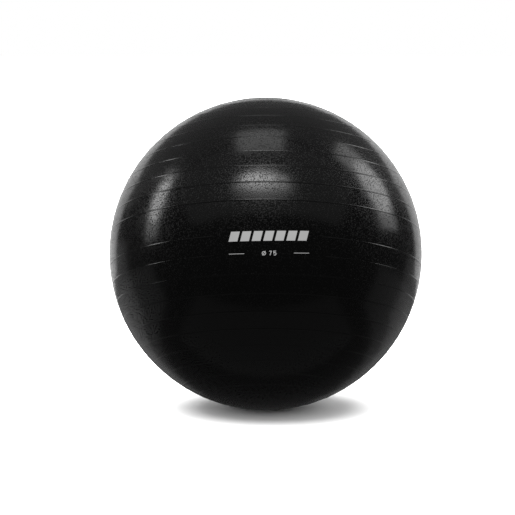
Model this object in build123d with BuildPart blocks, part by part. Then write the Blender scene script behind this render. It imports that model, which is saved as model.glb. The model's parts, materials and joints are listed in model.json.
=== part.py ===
from build123d import *
from math import acos, cos, degrees, radians, sin, sqrt
import os

# An inflated exercise ball, as it rests on a floor: one seamless hollow moulding in soft PVC with
# rows of raised ridges, a valve seat moulded into its upper pole, a push-in plug, and two prints.
# Millimetres, +Z up. The origin is on the floor, under the ball's centre. The prints face -Y.

# Ball
ball_diameter = 750
wall = 0.7  # stretched thin by the air inside
axis_lean = 18.6  # degrees from +Z towards +Y, of the axis that the ridges run around
contact_radius = 25  # of the flat that the ball's weight presses against the floor

# Ridges, by latitude about the leaning axis. The two halves mirror each other about a plain band
ridge_first = 6.2  # degrees from the equator to the first ridge
ridge_pitch = 6.6  # degrees from one ridge to the next
ridges_per_half = 11
ridge_width = 3.0
ridge_height = 0.4
ridge_inside = 0.15  # how far a ridge also thickens the wall inwards

# Print panel: the ridges that cross it stop short at each side. Longitude 0 faces -Y
print_latitude = -6.5
print_longitude = 1.1
print_turn = 1.0  # degrees anticlockwise, seen from outside
panel_half_span = 17.5  # degrees of longitude
panel_ridges = 2  # how many ridges below the equator the panel interrupts
ink_thickness = 0.2
print_reach = 40  # more than the ball curves away behind the prints' ends

# Emblem: a row of slanted bars
emblem_bars = 7
emblem_width = 179
emblem_height = 22
emblem_gap = 6
emblem_slant = 6  # how far a bar's top leans over to the right of its foot

# Size mark: a diameter sign and two digits, between two rules
size_mark_drop = 38.5  # from the emblem's middle down to the size mark's
rule_start = 55  # from the mark's middle
rule_length = 34
rule_width = 1.2
pen_width = 1.6
digit_height = 10.5
digit_width = 6.6
digit_gap = 3.4
sign_gap = 6.5
sign_radius = 3.8  # to the middle of the pen's stroke
slash_angle = 55
slash_overhang = 1.9  # past the sign's ring at each end
seven_foot = 1.4  # from the digit's left side to the foot of its leg
five_bowl_radius = 2.8
five_bowl_sweep = 280

# Valve seat, moulded into the upper pole
neck_radius = 11  # the part of the seat that shows in the ball's surface
flange_radius = 19
flange_thickness = 1.6
tube_radius = 7
tube_length = 24  # from the ball's surface to the tube's open end
bore_radius = 4.3
recess_radius = 8
recess_depth = 1.4

# Plug, pushed into the seat
plug_clearance = 0.05  # all round the plug's rings, in place of the grip of soft plastic
head_gap = 0.6  # all round the plug's head
head_dome = 0.4
core_radius = 3.4
shank_length = 21
ring_count = 3
ring_pitch = 5.5
ring_length = 2.4
tip_radius = 2.2
tip_length = 4

# Worked out from those
ball_radius = ball_diameter / 2
inner_radius = ball_radius - wall
centre_height = sqrt(ball_radius**2 - contact_radius**2)
centre = Vector(0, 0, centre_height)
up_axis = Vector(0, sin(radians(axis_lean)), cos(radians(axis_lean)))
front = Vector(0, -cos(radians(axis_lean)), sin(radians(axis_lean)))
right = Vector(1, 0, 0)
ball_axis = Axis(centre, up_axis)
ridge_half_span = degrees(ridge_width / 2 / ball_radius)
ridge_latitudes = [ridge_first + ridge_pitch * i for i in range(ridges_per_half)]
panel_latitudes = [-latitude for latitude in ridge_latitudes[:panel_ridges]]
recess_floor = ball_radius - recess_depth
flange_top = sqrt(inner_radius**2 - flange_radius**2)
head_radius = recess_radius - head_gap
ring_radius = bore_radius - plug_clearance


def outward(latitude, longitude):
    """Direction from the ball's centre to a point of its surface."""
    level = front * cos(radians(longitude)) + right * sin(radians(longitude))
    return level * cos(radians(latitude)) + up_axis * sin(radians(latitude))


def meridian(longitude):
    """Plane through the ball's axis: its x runs out from the axis and its y runs up it."""
    x_dir = outward(0, longitude)
    return Plane(origin=centre, x_dir=x_dir, z_dir=x_dir.cross(up_axis))


def polar(radius, latitude):
    """Point of a meridian plane, from its distance to the ball's centre and its latitude."""
    return (radius * cos(radians(latitude)), radius * sin(radians(latitude)))


def latitude_at(radius, from_axis):
    """Latitude at which a sphere about the ball's centre is some distance from the axis."""
    return degrees(acos(from_axis / radius))


def sphere_arc(radius, start, end):
    """Arc on a sphere between two latitudes, in a meridian plane."""
    ThreePointArc(polar(radius, start), polar(radius, (start + end) / 2), polar(radius, end))


def crown_arc(radius, height, latitude):
    """Rounded crown of a ridge that stands on a sphere, from its lower foot to its upper."""
    ThreePointArc(
        polar(radius, latitude - ridge_half_span),
        polar(radius + height, latitude),
        polar(radius, latitude + ridge_half_span),
    )


def ridged_arc(radius, height, latitudes, end):
    """Arc on a sphere from the lower pole to a latitude, with a ridge at each given latitude."""
    foot = -90
    for latitude in latitudes:
        sphere_arc(radius, foot, latitude - ridge_half_span)
        crown_arc(radius, height, latitude)
        foot = latitude + ridge_half_span
    sphere_arc(radius, foot, end)


def mid_wall_radius(height):
    """Distance from the vertical through the centre to the middle of the wall, at a height."""
    return sqrt((ball_radius - wall / 2) ** 2 - (centre_height - height) ** 2)


def write(part, name):
    """Label a finished piece and write its STEP."""
    part.label = name
    export_step(part, f"parts/{name}.step")


os.makedirs("parts", exist_ok=True)

# Ball: the wall with its whole ridges, revolved about the leaning axis, open at the valve seat
all_ridges = sorted(ridge_latitudes + [-latitude for latitude in ridge_latitudes])
whole_ridges = [latitude for latitude in all_ridges if latitude not in panel_latitudes]
outer_edge = latitude_at(ball_radius, neck_radius)
inner_edge = latitude_at(inner_radius, neck_radius)
with BuildPart() as ball_shell:
    with BuildSketch(meridian(90)):
        with BuildLine():
            ridged_arc(ball_radius, ridge_height, whole_ridges, outer_edge)
            ridged_arc(inner_radius, -ridge_inside, whole_ridges, inner_edge)
            Line(polar(ball_radius, outer_edge), polar(inner_radius, inner_edge))
            Line(polar(inner_radius, -90), polar(ball_radius, -90))
        make_face()
    revolve(axis=ball_axis)
    # the stretches of wall that carry the ridges that stop at each side of the print panel
    for latitude in panel_latitudes:
        with BuildSketch(meridian(print_longitude + panel_half_span)):
            with BuildLine():
                crown_arc(ball_radius, ridge_height, latitude)
                crown_arc(inner_radius, -ridge_inside, latitude)
                for foot in (latitude - ridge_half_span, latitude + ridge_half_span):
                    Line(polar(inner_radius, foot), polar(ball_radius, foot))
            make_face()
        revolve(axis=ball_axis, revolution_arc=360 - 2 * panel_half_span)
    # the wall lies flat where it rests on the floor
    split(bisect_by=Plane.XY, keep=Keep.TOP)
    Cone(
        bottom_radius=mid_wall_radius(0),
        top_radius=mid_wall_radius(wall),
        height=wall,
        align=(Align.CENTER, Align.CENTER, Align.MIN),
    )
write(ball_shell.part, "ball_shell")

# Valve seat: a flange under the wall, a neck that fills the wall's hole, and a tube into the ball
with BuildPart() as valve_seat:
    with BuildSketch(meridian(90)):
        with BuildLine():
            sphere_arc(ball_radius, latitude_at(ball_radius, recess_radius), outer_edge)
            Line(polar(ball_radius, outer_edge), polar(inner_radius, inner_edge))
            sphere_arc(inner_radius, inner_edge, latitude_at(inner_radius, flange_radius))
            Polyline(
                (flange_radius, flange_top),
                (flange_radius, flange_top - flange_thickness),
                (tube_radius, flange_top - flange_thickness),
                (tube_radius, ball_radius - tube_length),
                (bore_radius, ball_radius - tube_length),
                (bore_radius, recess_floor),
                (recess_radius, recess_floor),
                polar(ball_radius, latitude_at(ball_radius, recess_radius)),
            )
        make_face()
    revolve(axis=ball_axis)
write(valve_seat.part, "valve_seat")

# Plug: a thin domed head that lies in the seat's recess, and a shank with rings that grip the bore
with BuildPart() as valve_plug:
    with BuildSketch(meridian(90)):
        with BuildLine():
            head_side = Polyline(
                (0, ball_radius + head_dome),
                (0, recess_floor),
                (head_radius, recess_floor),
                polar(ball_radius, latitude_at(ball_radius, head_radius)),
            )
            TangentArc(head_side @ 0, head_side @ 1, tangent=(1, 0))
        make_face()
        with Locations((0, recess_floor)):
            Rectangle(core_radius, shank_length - tip_length, align=(Align.MIN, Align.MAX))
        tip_start = recess_floor - shank_length + tip_length
        with BuildLine():
            Polyline(
                (0, tip_start),
                (core_radius, tip_start),
                (tip_radius, tip_start - tip_length),
                (0, tip_start - tip_length),
                close=True,
            )
        make_face()
        for number in range(ring_count):
            ring_top = recess_floor - ring_pitch * (number + 0.5)
            with BuildLine():
                Polyline(
                    (0, ring_top),
                    (ring_radius, ring_top),
                    (ring_radius, ring_top - ring_length / 2),
                    (core_radius, ring_top - ring_length),
                    (0, ring_top - ring_length),
                    close=True,
                )
            make_face()
    revolve(axis=ball_axis)
write(valve_plug.part, "valve_plug")

# Prints: ink that follows the ball's surface, cut to shape from in front of the print panel
with BuildPart() as ink_layer:
    with Locations(centre):
        Sphere(ball_radius + ink_thickness)
        Sphere(ball_radius, mode=Mode.SUBTRACT)
print_normal = outward(print_latitude, print_longitude)
east = right * cos(radians(print_longitude)) - front * sin(radians(print_longitude))
north = print_normal.cross(east)
print_plane = Plane(
    origin=centre + print_normal * (ball_radius + 1),
    x_dir=east * cos(radians(print_turn)) + north * sin(radians(print_turn)),
    z_dir=print_normal,
)

with BuildPart() as printed_emblem:
    with BuildSketch(print_plane):
        bar_pitch = (emblem_width - emblem_slant + emblem_gap) / emblem_bars
        bar_width = bar_pitch - emblem_gap
        for number in range(emblem_bars):
            left = bar_pitch * number - emblem_width / 2
            with BuildLine():
                Polyline(
                    (left, -emblem_height / 2),
                    (left + bar_width, -emblem_height / 2),
                    (left + bar_width + emblem_slant, emblem_height / 2),
                    (left + emblem_slant, emblem_height / 2),
                    close=True,
                )
            make_face()
    extrude(amount=-print_reach)
    add(ink_layer.part, mode=Mode.INTERSECT)
write(printed_emblem.part, "printed_emblem")

stroke_width = digit_width - pen_width
stroke_height = digit_height - pen_width
sign_width = 2 * sign_radius + pen_width
mark_width = sign_width + sign_gap + digit_width + digit_gap + digit_width
sign_middle = (sign_width - mark_width) / 2
five_left = (mark_width + pen_width) / 2 - digit_width
seven_left = five_left - digit_gap - digit_width
foot_line = -size_mark_drop - stroke_height / 2
head_line = -size_mark_drop + stroke_height / 2
with BuildPart() as printed_size_mark:
    with BuildSketch(print_plane):
        with Locations(
            (-rule_start - rule_length / 2, -size_mark_drop),
            (rule_start + rule_length / 2, -size_mark_drop),
        ):
            Rectangle(rule_length, rule_width)
        # diameter sign
        with Locations((sign_middle, -size_mark_drop)):
            Circle(sign_radius + pen_width / 2)
            Circle(sign_radius - pen_width / 2, mode=Mode.SUBTRACT)
        with BuildLine():
            half_slash = Vector(sign_radius + slash_overhang, 0).rotate(Axis.Z, slash_angle)
            Line(
                Vector(sign_middle, -size_mark_drop) - half_slash,
                Vector(sign_middle, -size_mark_drop) + half_slash,
            )
        trace(line_width=pen_width)
        # seven
        with BuildLine():
            Polyline(
                (seven_left, head_line),
                (seven_left + stroke_width, head_line),
                (seven_left + seven_foot, foot_line),
            )
        trace(line_width=pen_width)
        # five
        with BuildLine():
            bowl = CenterArc(
                (five_left + stroke_width - five_bowl_radius, foot_line + five_bowl_radius),
                five_bowl_radius,
                -five_bowl_sweep / 2,
                five_bowl_sweep,
            )
            Polyline(bowl @ 1, (five_left, head_line), (five_left + stroke_width, head_line))
        trace(line_width=pen_width)
    extrude(amount=-print_reach)
    add(ink_layer.part, mode=Mode.INTERSECT)
write(printed_size_mark.part, "printed_size_mark")
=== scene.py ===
import json
from math import acos, asin, cos, degrees, pi, radians, sin, sqrt, tan

import bmesh
import bpy
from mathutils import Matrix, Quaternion, Vector


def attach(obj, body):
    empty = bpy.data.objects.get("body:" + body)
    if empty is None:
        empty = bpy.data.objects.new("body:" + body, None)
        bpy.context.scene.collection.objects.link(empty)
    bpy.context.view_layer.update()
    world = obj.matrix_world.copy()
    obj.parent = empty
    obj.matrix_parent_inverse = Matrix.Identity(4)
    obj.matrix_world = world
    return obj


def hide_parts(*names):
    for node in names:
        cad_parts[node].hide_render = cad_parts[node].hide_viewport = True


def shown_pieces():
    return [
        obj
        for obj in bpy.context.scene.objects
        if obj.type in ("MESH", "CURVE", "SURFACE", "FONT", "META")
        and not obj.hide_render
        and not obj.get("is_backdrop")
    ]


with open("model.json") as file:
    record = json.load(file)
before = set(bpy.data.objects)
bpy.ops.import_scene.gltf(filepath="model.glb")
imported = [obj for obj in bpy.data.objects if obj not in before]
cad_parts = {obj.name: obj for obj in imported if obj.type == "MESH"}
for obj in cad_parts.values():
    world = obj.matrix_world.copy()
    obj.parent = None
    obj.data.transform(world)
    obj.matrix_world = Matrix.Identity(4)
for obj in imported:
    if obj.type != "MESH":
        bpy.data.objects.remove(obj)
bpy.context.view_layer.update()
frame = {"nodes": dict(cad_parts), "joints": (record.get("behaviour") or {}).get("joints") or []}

# An inflated exercise ball in black PVC, resting on a pale floor. Metres, in the model's frame:
# +Z up, origin on the floor under the ball's centre, prints facing -Y.

# Ball
BALL_RADIUS = 0.375
WALL = 0.0007
INNER_RADIUS = BALL_RADIUS - WALL
CONTACT_RADIUS = 0.025  # of the flat that rests on the floor
NECK_RADIUS = 0.011  # of the hole that the valve seat fills

# Ridges, in degrees of latitude about the leaning axis
RIDGE_FIRST = 6.2
RIDGE_PITCH = 6.6
RIDGES_PER_HALF = 11
RIDGE_WIDTH = 0.0030
RIDGE_HEIGHT = 0.0004
PANEL_RIDGES = 2  # rows below the equator that stop at the print panel
PANEL_LONGITUDE = 1.1
PANEL_HALF_SPAN = 17.5
RIDGE_END = 4.0  # degrees of longitude over which a ridge dies away at the panel

# Meshes
LOWER_POLE = -90.0  # degrees of latitude
SEGMENTS = 288
ROW_STEP = 2.2  # degrees of latitude between rows, away from the ridges
CROWN_ROWS = (-1.35, -1.0, -0.72, -0.36, 0.0, 0.36, 0.72, 1.0, 1.35)  # in half ridge widths
INNER_ROWS = 24
CREASE = 40.0  # degrees: sharper edges than this stay crisp
MOULDING_CREASE = 50.0
LATHE_SEGMENTS = 96
FILLET_STEPS = 4
MERGE_DISTANCE = 0.000001

# Valve seat and plug, as distances from the leaning axis and depths below the ball's surface
RECESS_RADIUS = 0.008
RECESS_DEPTH = 0.0014
BORE_RADIUS = 0.0043
FLANGE_RADIUS = 0.019
FLANGE_THICKNESS = 0.0016
TUBE_RADIUS = 0.007
TUBE_LENGTH = 0.024
HEAD_GAP = 0.0006
HEAD_DOME = 0.0004
CORE_RADIUS = 0.0034
SHANK_LENGTH = 0.021
RINGS = 3
RING_PITCH = 0.0055
RING_LENGTH = 0.0024
RING_GAP = 0.00005
TIP_RADIUS = 0.0022
TIP_LENGTH = 0.004
DIMPLE_RADIUS = 0.0016  # of the moulding mark in the middle of the plug's head
DIMPLE_DEPTH = 0.0003
DIMPLE_RIM_DROP = HEAD_DOME / 12
DOME_BEND = 0.6  # share of the head's radius at which the dome starts to fall away
DOME_BEND_DROP = HEAD_DOME / 3

# Fillets of the seat's profile
MOUTH_FILLET = 0.0005
NECK_FILLET = 0.0001
FLANGE_TOP_FILLET = 0.0005
FLANGE_FOOT_FILLET = 0.0006
TUBE_ROOT_FILLET = 0.002
TUBE_END_FILLET = 0.0009
BORE_FILLET = 0.0005
RECESS_FILLET = 0.0004

# Fillets of the plug's profile
DIMPLE_FLOOR_FILLET = 0.0002
DIMPLE_RIM_FILLET = 0.0003
DOME_FILLET = 0.003
HEAD_RIM_FILLET = 0.0005
HEAD_BACK_FILLET = 0.0003
CORE_FILLET = 0.0002
RING_ROOT_FILLET = 0.0003
RING_EDGE_FILLET = 0.0002
RING_SLOPE_FILLET = 0.0004
TIP_SHOULDER_FILLET = 0.0006
TIP_FILLET = 0.0008

# Black PVC of the ball: noise in features per metre, with relief in metres
CLOUD_SCALE = 9.0
CLOUD_DETAIL = 4.0
CLOUD_BAND = (0.3, 0.7)  # of the noise, where nearly all of it lies
CLOUD_GLOSS = (-0.01, 0.01)  # what the clouds add to the roughness
SKIN_DARK = (0.0030, 0.0030, 0.0031)
SKIN_PALE = (0.0050, 0.0050, 0.0052)
GRAIN_SCALE = 340.0
GRAIN_DETAIL = 2.0
GRAIN_BAND = (0.48, 0.66)  # of the noise, over which glossy turns to matt
GRAIN_ROUGHNESS = (0.09, 0.55)  # of the glossy and the matt spots
GRAIN_DEPTH = 0.00014
PORE_SCALE = 1600.0
PORE_DEPTH = 0.00002
RIDGE_ROUGHNESS = 0.14

# Floor, in metres, with the ball at 0, 0
FLOOR_SIDE = 40.0
FLOOR_NEAR = -20.0
FLOOR_FAR = 200.0
FLOOR_ALBEDO = 0.8
FLOOR_ROUGHNESS = 0.9

# Light
FLOOR_LIGHTS = [("sky", 170, 1.45), ("overhead", 84, 2.8)]  # degrees across, brightness of open floor
FLOOR_LIGHT_LEAN = -6.0  # degrees about Y: the light comes a little from the left
LIGHT_DISTANCE = 6.0
ROOM_GREY = 0.04  # of what the ball mirrors where there is no panel
BACKDROP_GREY = 1.0

# Camera, about 12.5 ball radii away, aimed a little below and to the left of the ball's middle
CAMERA_DISTANCE = 12.5 * BALL_RADIUS
CAMERA_ELEVATION = 6.0
CAMERA_REACH = 500.0
BALL_SHARE = 0.6076  # of the picture's width, that the ball's outline takes
AIM_RIGHT = -0.052 * BALL_RADIUS
AIM_UP = -0.024 * BALL_RADIUS
SENSOR = 36.0

# Directions: the ball's own axis leans back, and the plug slides along it
UP = Vector(frame["joints"][0]["axis"]).normalized()
RIGHT = Vector((1, 0, 0))
FRONT = RIGHT.cross(UP).normalized()
CENTRE = Vector((0, 0, sqrt(BALL_RADIUS**2 - CONTACT_RADIUS**2)))


def outward(latitude, longitude):
    """Direction from the ball's centre, by latitude about the leaning axis. Longitude 0 faces -Y."""
    level = FRONT * cos(radians(longitude)) + RIGHT * sin(radians(longitude))
    return level * cos(radians(latitude)) + UP * sin(radians(latitude))


def smooth(share):
    """Smooth step from 0 to 1."""
    share = min(max(share, 0.0), 1.0)
    return share * share * (3 - 2 * share)


def linked(name, data):
    """A new object in the scene."""
    made = bpy.data.objects.new(name, data)
    bpy.context.scene.collection.objects.link(made)
    return made


def mesh_object(name, vertices, faces, crease=CREASE):
    """A smooth-shaded mesh object, with edges sharper than an angle in degrees kept crisp."""
    mesh = bpy.data.meshes.new(name)
    mesh.from_pydata(vertices, [], faces)
    mesh.shade_smooth()
    mesh.set_sharp_from_angle(angle=radians(crease))
    return linked(name, mesh)


# ---------------------------------------------------------------- ball

half_span = degrees(RIDGE_WIDTH / 2 / BALL_RADIUS)
upper_ridges = [RIDGE_FIRST + RIDGE_PITCH * number for number in range(RIDGES_PER_HALF)]
ridges = sorted([-latitude for latitude in upper_ridges] + upper_ridges)
panel_ridges = [-latitude for latitude in upper_ridges[:PANEL_RIDGES]]


def rows_between(start, end, step):
    """Evenly spaced latitudes strictly between two others."""
    count = max(int((end - start) / step), 1)
    return [start + (end - start) * (number + 1) / (count + 1) for number in range(count)]


def outer_rows():
    """Latitudes of the outer surface's rows, above the lower pole and up to the valve's neck."""
    rows = []
    foot = LOWER_POLE
    for latitude in ridges:
        crown = [latitude + half_span * place for place in CROWN_ROWS]
        rows += rows_between(foot, crown[0], ROW_STEP) + crown
        foot = crown[-1]
    neck = degrees(acos(NECK_RADIUS / BALL_RADIUS))
    return rows + rows_between(foot, neck, ROW_STEP) + [neck]


def ridge_rise(latitude, longitude):
    """Height of the ridges above the sphere, from 0 to 1."""
    nearest = min(ridges, key=lambda ridge: abs(ridge - latitude))
    across = (latitude - nearest) / half_span
    if abs(across) >= 1:
        return 0.0
    rise = 1 - across**2
    if nearest in panel_ridges:
        off_middle = abs((longitude - PANEL_LONGITUDE + 180) % 360 - 180)
        rise *= smooth((off_middle - PANEL_HALF_SPAN) / RIDGE_END)
    return rise


def skin_point(radius, latitude, longitude, floor):
    """Point of the ball's skin, which lies flat where it meets the floor."""
    point = CENTRE + outward(latitude, longitude) * radius
    point.z = max(point.z, floor)
    return point


def ball_mesh():
    """Vertices, faces and ridge heights of the whole skin: outside, edge of the neck, and inside."""
    vertices = [skin_point(BALL_RADIUS, LOWER_POLE, 0, 0.0)]
    rises = [0.0]
    longitudes = [360 * number / SEGMENTS for number in range(SEGMENTS)]
    outer = outer_rows()
    for latitude in outer:
        for longitude in longitudes:
            rise = ridge_rise(latitude, longitude)
            vertices.append(skin_point(BALL_RADIUS + RIDGE_HEIGHT * rise, latitude, longitude, 0.0))
            rises.append(rise)
    neck = degrees(acos(NECK_RADIUS / INNER_RADIUS))
    inner = [neck + (LOWER_POLE - neck) * number / INNER_ROWS for number in range(INNER_ROWS)]
    for latitude in inner:
        for longitude in longitudes:
            vertices.append(skin_point(INNER_RADIUS, latitude, longitude, WALL))
            rises.append(0.0)
    vertices.append(skin_point(INNER_RADIUS, LOWER_POLE, 0, WALL))
    rises.append(0.0)
    last = len(vertices) - 1
    row_count = len(outer) + len(inner)
    faces = []
    for number in range(SEGMENTS):
        beside = (number + 1) % SEGMENTS
        faces.append((0, 1 + beside, 1 + number))
        for row in range(row_count - 1):
            low = 1 + row * SEGMENTS
            high = low + SEGMENTS
            faces.append((low + number, low + beside, high + beside, high + number))
        low = 1 + (row_count - 1) * SEGMENTS
        faces.append((low + number, low + beside, last))
    return vertices, faces, rises


vertices, faces, rises = ball_mesh()
ball = mesh_object("ball_skin", vertices, faces)
ridge_mask = ball.data.attributes.new("ridge", "FLOAT", "POINT")
ridge_mask.data.foreach_set("value", rises)
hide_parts("ball_shell")
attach(ball, "ball")


# ---------------------------------------------------------------- valve


def rounded(corners):
    """Profile through corners, each a distance from the axis, a height and a fillet radius."""
    profile = []
    for number, (across, height, fillet) in enumerate(corners):
        corner = Vector((across, height))
        before = corners[number - 1]
        after = corners[(number + 1) % len(corners)]
        to_before = Vector(before[:2]) - corner
        to_after = Vector(after[:2]) - corner
        if fillet == 0:
            profile.append(corner)
            continue
        half_turn = to_before.angle(to_after) / 2
        setback = fillet / tan(half_turn)
        start = corner + to_before.normalized() * setback
        end = corner + to_after.normalized() * setback
        for step in range(FILLET_STEPS + 1):
            share = step / FILLET_STEPS
            profile.append(start * (1 - share)**2 + corner * 2 * share * (1 - share) + end * share**2)
    return profile


def lathe(name, corners):
    """Closed piece turned about the leaning axis, from the corners of its profile."""
    profile = rounded(corners)
    vertices = []
    for across, height in profile:
        for number in range(LATHE_SEGMENTS):
            level = outward(0, 360 * number / LATHE_SEGMENTS)
            vertices.append(CENTRE + UP * height + level * across)
    faces = []
    for row in range(len(profile)):
        low = row * LATHE_SEGMENTS
        high = (row + 1) % len(profile) * LATHE_SEGMENTS
        for number in range(LATHE_SEGMENTS):
            beside = (number + 1) % LATHE_SEGMENTS
            faces.append((low + number, low + beside, high + beside, high + number))
    piece = mesh_object(name, vertices, faces, MOULDING_CREASE)
    shape = bmesh.new()
    shape.from_mesh(piece.data)
    bmesh.ops.remove_doubles(shape, verts=shape.verts, dist=MERGE_DISTANCE)
    bmesh.ops.recalc_face_normals(shape, faces=shape.faces)
    shape.to_mesh(piece.data)
    shape.free()
    return piece


def on_sphere(radius, across):
    """Height above the ball's centre at which a sphere is some distance from the axis."""
    return sqrt(radius**2 - across**2)


recess_floor = BALL_RADIUS - RECESS_DEPTH
flange_top = on_sphere(INNER_RADIUS, FLANGE_RADIUS)
flange_bottom = flange_top - FLANGE_THICKNESS
tube_end = BALL_RADIUS - TUBE_LENGTH


def seat_corners():
    """Profile of the seat: lip and recess at the ball's surface, flange under the wall, tube and bore."""
    under_wall = [
        (across, on_sphere(INNER_RADIUS, across), 0)
        for across in (NECK_RADIUS, (NECK_RADIUS + FLANGE_RADIUS) / 2)
    ]
    return [
        (RECESS_RADIUS, on_sphere(BALL_RADIUS, RECESS_RADIUS), MOUTH_FILLET),
        (NECK_RADIUS, on_sphere(BALL_RADIUS, NECK_RADIUS), NECK_FILLET),
        *under_wall,
        (FLANGE_RADIUS, flange_top, FLANGE_TOP_FILLET),
        (FLANGE_RADIUS, flange_bottom, FLANGE_FOOT_FILLET),
        (TUBE_RADIUS, flange_bottom, TUBE_ROOT_FILLET),
        (TUBE_RADIUS, tube_end, TUBE_END_FILLET),
        (BORE_RADIUS, tube_end, TUBE_END_FILLET),
        (BORE_RADIUS, recess_floor, BORE_FILLET),
        (RECESS_RADIUS, recess_floor, RECESS_FILLET),
    ]


def plug_corners():
    """Profile of the plug: domed head with a moulding mark, ringed shank and blunt tip."""
    head_radius = RECESS_RADIUS - HEAD_GAP
    head_top = BALL_RADIUS + HEAD_DOME
    corners = [
        (0, head_top - DIMPLE_DEPTH, 0),
        (DIMPLE_RADIUS, head_top - DIMPLE_DEPTH, DIMPLE_FLOOR_FILLET),
        (DIMPLE_RADIUS + DIMPLE_DEPTH, head_top - DIMPLE_RIM_DROP, DIMPLE_RIM_FILLET),
        (head_radius * DOME_BEND, head_top - DOME_BEND_DROP, DOME_FILLET),
        (head_radius, on_sphere(BALL_RADIUS, head_radius), HEAD_RIM_FILLET),
        (head_radius, recess_floor, HEAD_BACK_FILLET),
    ]
    core_start = recess_floor
    for number in range(RINGS):
        ring_top = recess_floor - RING_PITCH * (number + 0.5)
        corners += [
            (CORE_RADIUS, core_start, CORE_FILLET),
            (CORE_RADIUS, ring_top, RING_ROOT_FILLET),
            (BORE_RADIUS - RING_GAP, ring_top, RING_EDGE_FILLET),
            (BORE_RADIUS - RING_GAP, ring_top - RING_LENGTH / 2, RING_SLOPE_FILLET),
        ]
        core_start = ring_top - RING_LENGTH
    tip_end = recess_floor - SHANK_LENGTH
    corners += [
        (CORE_RADIUS, core_start, CORE_FILLET),
        (CORE_RADIUS, tip_end + TIP_LENGTH, TIP_SHOULDER_FILLET),
        (TIP_RADIUS, tip_end, TIP_FILLET),
        (0, tip_end, 0),
    ]
    return corners


seat = lathe("seat_moulding", seat_corners())
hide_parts("valve_seat")
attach(seat, "ball")
plug = lathe("plug_moulding", plug_corners())
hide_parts("valve_plug")
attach(plug, "plug")


# ---------------------------------------------------------------- materials


def new_material(name):
    """A material with the standard shader, and its node tree."""
    material = bpy.data.materials.new(name)
    material.use_nodes = True
    return material, material.node_tree


def grey(value):
    """A neutral colour."""
    return (value, value, value)


def noise(tree, scale, detail=GRAIN_DETAIL):
    """Noise fixed to the object, from 0 to 1, with its scale in features per metre."""
    place = tree.nodes.new("ShaderNodeTexCoord")
    texture = tree.nodes.new("ShaderNodeTexNoise")
    texture.inputs["Scale"].default_value = scale
    texture.inputs["Detail"].default_value = detail
    tree.links.new(place.outputs["Object"], texture.inputs["Vector"])
    return texture.outputs["Fac"]


def attribute(tree, name):
    """A value that the mesh carries."""
    source = tree.nodes.new("ShaderNodeAttribute")
    source.attribute_name = name
    return source.outputs["Fac"]


def ranged(tree, value, source, result):
    """Maps one range of a value onto another, and stays within it."""
    mapping = tree.nodes.new("ShaderNodeMapRange")
    mapping.inputs["From Min"].default_value, mapping.inputs["From Max"].default_value = source
    mapping.inputs["To Min"].default_value, mapping.inputs["To Max"].default_value = result
    tree.links.new(value, mapping.inputs["Value"])
    return mapping.outputs["Result"]


def total(tree, first, second):
    """Sum of two values."""
    sum_of = tree.nodes.new("ShaderNodeMath")
    sum_of.operation = "ADD"
    tree.links.new(first, sum_of.inputs[0])
    tree.links.new(second, sum_of.inputs[1])
    return sum_of.outputs["Value"]


def blended(tree, factor, start, end):
    """Value that goes to a number as the factor goes from 0 to 1."""
    mix = tree.nodes.new("ShaderNodeMix")
    mix.inputs["B"].default_value = end
    tree.links.new(start, mix.inputs["A"])
    tree.links.new(factor, mix.inputs["Factor"])
    return mix.outputs["Result"]


def tinted(tree, factor, dark, pale):
    """Grey or colour between two others."""
    mix = tree.nodes.new("ShaderNodeMix")
    mix.data_type = "RGBA"
    mix.inputs["A"].default_value = (*dark, 1)
    mix.inputs["B"].default_value = (*pale, 1)
    tree.links.new(factor, mix.inputs["Factor"])
    return mix.outputs["Result"]


def relief(tree, layers):
    """Surface normal with layers of relief, each a (height value, depth in metres)."""
    normal = None
    for height, depth in layers:
        bump = tree.nodes.new("ShaderNodeBump")
        bump.inputs["Distance"].default_value = depth
        tree.links.new(height, bump.inputs["Height"])
        if normal is not None:
            tree.links.new(normal, bump.inputs["Normal"])
        normal = bump.outputs["Normal"]
    return normal


def wired(material, colour, roughness, normal):
    """The material, with the three values that vary over a surface wired into its shader."""
    shader = material.node_tree.nodes["Principled BSDF"]
    material.node_tree.links.new(colour, shader.inputs["Base Color"])
    material.node_tree.links.new(roughness, shader.inputs["Roughness"])
    material.node_tree.links.new(normal, shader.inputs["Normal"])
    return material


def ball_vinyl():
    """Black glossy PVC with fine matt grain all over, cloudy variation and polished ridge crowns."""
    material, tree = new_material("black_pvc")
    clouds = noise(tree, CLOUD_SCALE, CLOUD_DETAIL)
    grain = noise(tree, GRAIN_SCALE)
    colour = tinted(tree, clouds, SKIN_DARK, SKIN_PALE)
    matt_spots = ranged(tree, grain, GRAIN_BAND, GRAIN_ROUGHNESS)
    cloudy_gloss = ranged(tree, clouds, CLOUD_BAND, CLOUD_GLOSS)
    skin_roughness = total(tree, matt_spots, cloudy_gloss)
    roughness = blended(tree, attribute(tree, "ridge"), skin_roughness, RIDGE_ROUGHNESS)
    normal = relief(tree, [(grain, GRAIN_DEPTH), (noise(tree, PORE_SCALE), PORE_DEPTH)])
    return wired(material, colour, roughness, normal)


def moulded(name, dark, pale, roughness, patch_scale, grain_scale, grain_depth):
    """Plain moulded plastic or ink: fine grain in relief, and colour and gloss that vary a little."""
    material, tree = new_material(name)
    patches = noise(tree, patch_scale, CLOUD_DETAIL)
    colour = tinted(tree, patches, dark, pale)
    patchy_roughness = ranged(tree, patches, CLOUD_BAND, roughness)
    normal = relief(tree, [(noise(tree, grain_scale), grain_depth)])
    return wired(material, colour, patchy_roughness, normal)


def dress(piece, material):
    """Gives a piece one material all over."""
    if not piece.material_slots:
        piece.data.materials.append(material)
    for material_slot in piece.material_slots:
        material_slot.material = material


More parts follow.
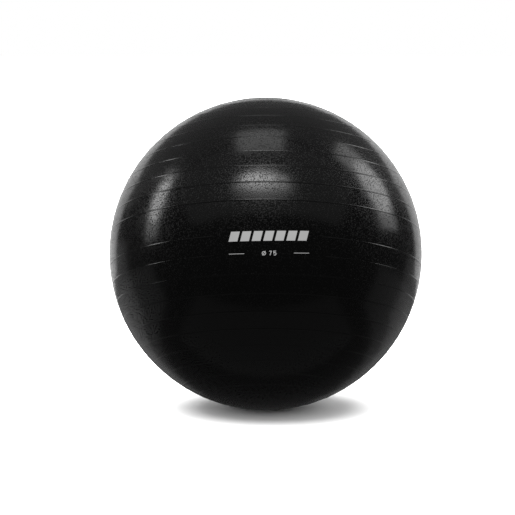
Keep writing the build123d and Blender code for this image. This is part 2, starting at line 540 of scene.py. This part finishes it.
dress(ball, ball_vinyl())
dress(seat, moulded(
    "black_seat_pvc", dark=grey(0.006), pale=grey(0.010), roughness=(0.30, 0.42),
    patch_scale=60.0, grain_scale=900.0, grain_depth=0.00004,
))
dress(plug, moulded(
    "white_plug_plastic", dark=(0.68, 0.68, 0.66), pale=(0.80, 0.80, 0.78), roughness=(0.30, 0.45),
    patch_scale=90.0, grain_scale=1500.0, grain_depth=0.00002,
))
prints = [frame["nodes"][node] for node in ("printed_emblem", "printed_size_mark")]
pale_ink = moulded(
    "pale_ink", dark=grey(0.62), pale=grey(0.76), roughness=(0.45, 0.60),
    patch_scale=60.0, grain_scale=700.0, grain_depth=0.00003,
)
for one_print in prints:
    dress(one_print, pale_ink)


# ---------------------------------------------------------------- floor, light and camera


def pale_floor():
    """A matt white plane that only the camera sees, so that it doesn't show in the ball."""
    corners = [
        (-FLOOR_SIDE, FLOOR_NEAR, 0), (FLOOR_SIDE, FLOOR_NEAR, 0),
        (FLOOR_SIDE, FLOOR_FAR, 0), (-FLOOR_SIDE, FLOOR_FAR, 0),
    ]
    plane = mesh_object("floor", corners, [(0, 1, 2, 3)])
    paint, tree = new_material("floor_paint")
    shader = tree.nodes["Principled BSDF"]
    shader.inputs["Base Color"].default_value = (*grey(FLOOR_ALBEDO), 1)
    shader.inputs["Roughness"].default_value = FLOOR_ROUGHNESS
    shader.inputs["Specular IOR Level"].default_value = 0.0
    dress(plane, paint)
    plane.visible_glossy = False
    plane.visible_diffuse = False
    plane.visible_shadow = False
    return plane


floor = pale_floor()
floor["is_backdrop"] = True


def collection_of(name, objects):
    """A collection that tells a light which objects it lights."""
    made = bpy.data.collections.new(name)
    for one in objects:
        made.objects.link(one)
    return made


# Each piece is lit by one set of lights only: one in two sets came out a little different from run to run
lit_object = collection_of("lit_object", [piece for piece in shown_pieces() if piece not in prints])
lit_prints = collection_of("lit_prints", prints)
lit_floor = collection_of("lit_floor", [floor])


def floor_light(name, across, brightness):
    """Light from above for the floor alone, which the ball shades."""
    sun = bpy.data.lights.new("floor_" + name, "SUN")
    sun.angle = radians(across)
    sun.energy = brightness * pi / FLOOR_ALBEDO
    lamp = linked("floor_" + name, sun)
    lamp.rotation_euler.y = radians(FLOOR_LIGHT_LEAN)
    lamp.light_linking.receiver_collection = lit_floor


for name, across, brightness in FLOOR_LIGHTS:
    floor_light(name, across, brightness)


def softbox(name, azimuth, elevation, width, height, radiance, tilt=0, oval=False, lit=lit_object):
    """A soft panel that faces the ball, its place, size and tilt in degrees as seen from there.

    Azimuth 0 is the camera's side and 90 is to the right. A tilt turns the panel's top clockwise."""
    away = Vector((
        sin(radians(azimuth)) * cos(radians(elevation)),
        -cos(radians(azimuth)) * cos(radians(elevation)),
        sin(radians(elevation)),
    ))
    light = bpy.data.lights.new(name, "AREA")
    light.shape = "ELLIPSE" if oval else "RECTANGLE"
    light.size = 2 * LIGHT_DISTANCE * tan(radians(width) / 2)
    light.size_y = 2 * LIGHT_DISTANCE * tan(radians(height) / 2)
    area = light.size * light.size_y * (pi / 4 if oval else 1)
    light.energy = radiance * pi * area
    lamp = linked(name, light)
    lamp.location = CENTRE + away * LIGHT_DISTANCE
    lamp.rotation_mode = "QUATERNION"
    lamp.rotation_quaternion = away.to_track_quat("Z", "Y") @ Quaternion((0, 0, 1), radians(tilt))
    lamp.visible_camera = False
    lamp.light_linking.receiver_collection = lit


# Main light, high in front, and the patch of ceiling above the ball
softbox("key_wide", azimuth=-3, elevation=56, width=40, height=24, radiance=1.0, oval=True)
softbox("key_middle", azimuth=-4, elevation=58, width=32, height=16, radiance=2.7, oval=True)
softbox("key_core", azimuth=-9, elevation=59, width=20, height=10, radiance=4.2, oval=True)
softbox("ceiling", azimuth=-145, elevation=85, width=24, height=21, radiance=1.25, tilt=-35)

# Tall strips at the sides, each with a brighter middle
softbox("strip_left", azimuth=-97, elevation=24, width=12, height=36, radiance=1.5, tilt=22)
softbox("strip_left_core", azimuth=-97, elevation=26, width=11, height=24, radiance=3.9, tilt=22, oval=True)
softbox("strip_right", azimuth=109, elevation=31, width=20, height=44, radiance=1.4, tilt=-17)
softbox("strip_right_core", azimuth=108, elevation=29, width=21, height=27, radiance=2.5, tilt=-17, oval=True)

# The white surroundings, which light the ball's rim
softbox("back", azimuth=180, elevation=5, width=82, height=34, radiance=0.9)
softbox("low_left", azimuth=-142, elevation=-17, width=50, height=30, radiance=0.17, tilt=8)
softbox("low_left_wide", azimuth=-120, elevation=-25, width=70, height=26, radiance=0.11, tilt=10)
softbox("low_right", azimuth=145, elevation=-20, width=50, height=24, radiance=0.13, tilt=-8)
softbox("low_right_wide", azimuth=120, elevation=-26, width=70, height=26, radiance=0.09, tilt=-10)

# Faint light from the room and the floor
softbox("room", azimuth=0, elevation=64, width=110, height=60, radiance=0.14)
softbox("back_wall", azimuth=180, elevation=48, width=110, height=70, radiance=0.11)
softbox("floor_glow", azimuth=0, elevation=-62, width=100, height=60, radiance=0.05)

# Light for the prints alone, which the ball doesn't mirror
softbox("print_fill", azimuth=0, elevation=25, width=40, height=30, radiance=4.45, lit=lit_prints)


def studio_world():
    """Surroundings that are white to the camera and nearly black to everything else."""
    world = bpy.data.worlds.new("studio")
    world.use_nodes = True
    tree = world.node_tree
    backdrop = tree.nodes["Background"]
    backdrop.inputs["Color"].default_value = (*grey(BACKDROP_GREY), 1)
    room = tree.nodes.new("ShaderNodeBackground")
    room.inputs["Color"].default_value = (*grey(ROOM_GREY), 1)
    ray = tree.nodes.new("ShaderNodeLightPath")
    choice = tree.nodes.new("ShaderNodeMixShader")
    tree.links.new(ray.outputs["Is Camera Ray"], choice.inputs[0])
    tree.links.new(room.outputs["Background"], choice.inputs[1])
    tree.links.new(backdrop.outputs["Background"], choice.inputs[2])
    tree.links.new(choice.outputs["Shader"], tree.nodes["World Output"].inputs["Surface"])
    return world


def front_camera():
    """Camera at the photo's angle, with the ball as large in the picture as it is there."""
    tipped = radians(CAMERA_ELEVATION)
    towards_camera = Vector((0, -cos(tipped), sin(tipped)))
    picture_up = Vector((0, sin(tipped), cos(tipped)))
    optics = bpy.data.cameras.new("camera")
    optics.sensor_width = SENSOR
    optics.lens = SENSOR / 2 * BALL_SHARE / tan(asin(BALL_RADIUS / CAMERA_DISTANCE))
    optics.clip_end = CAMERA_REACH
    camera = linked("camera", optics)
    camera.location = CENTRE + towards_camera * CAMERA_DISTANCE
    target = CENTRE + RIGHT * AIM_RIGHT + picture_up * AIM_UP
    camera.rotation_mode = "QUATERNION"
    camera.rotation_quaternion = (target - camera.location).to_track_quat("-Z", "Y")
    return camera


scene = bpy.context.scene
scene.world = studio_world()
scene.camera = front_camera()
scene.view_settings.view_transform = "Standard"
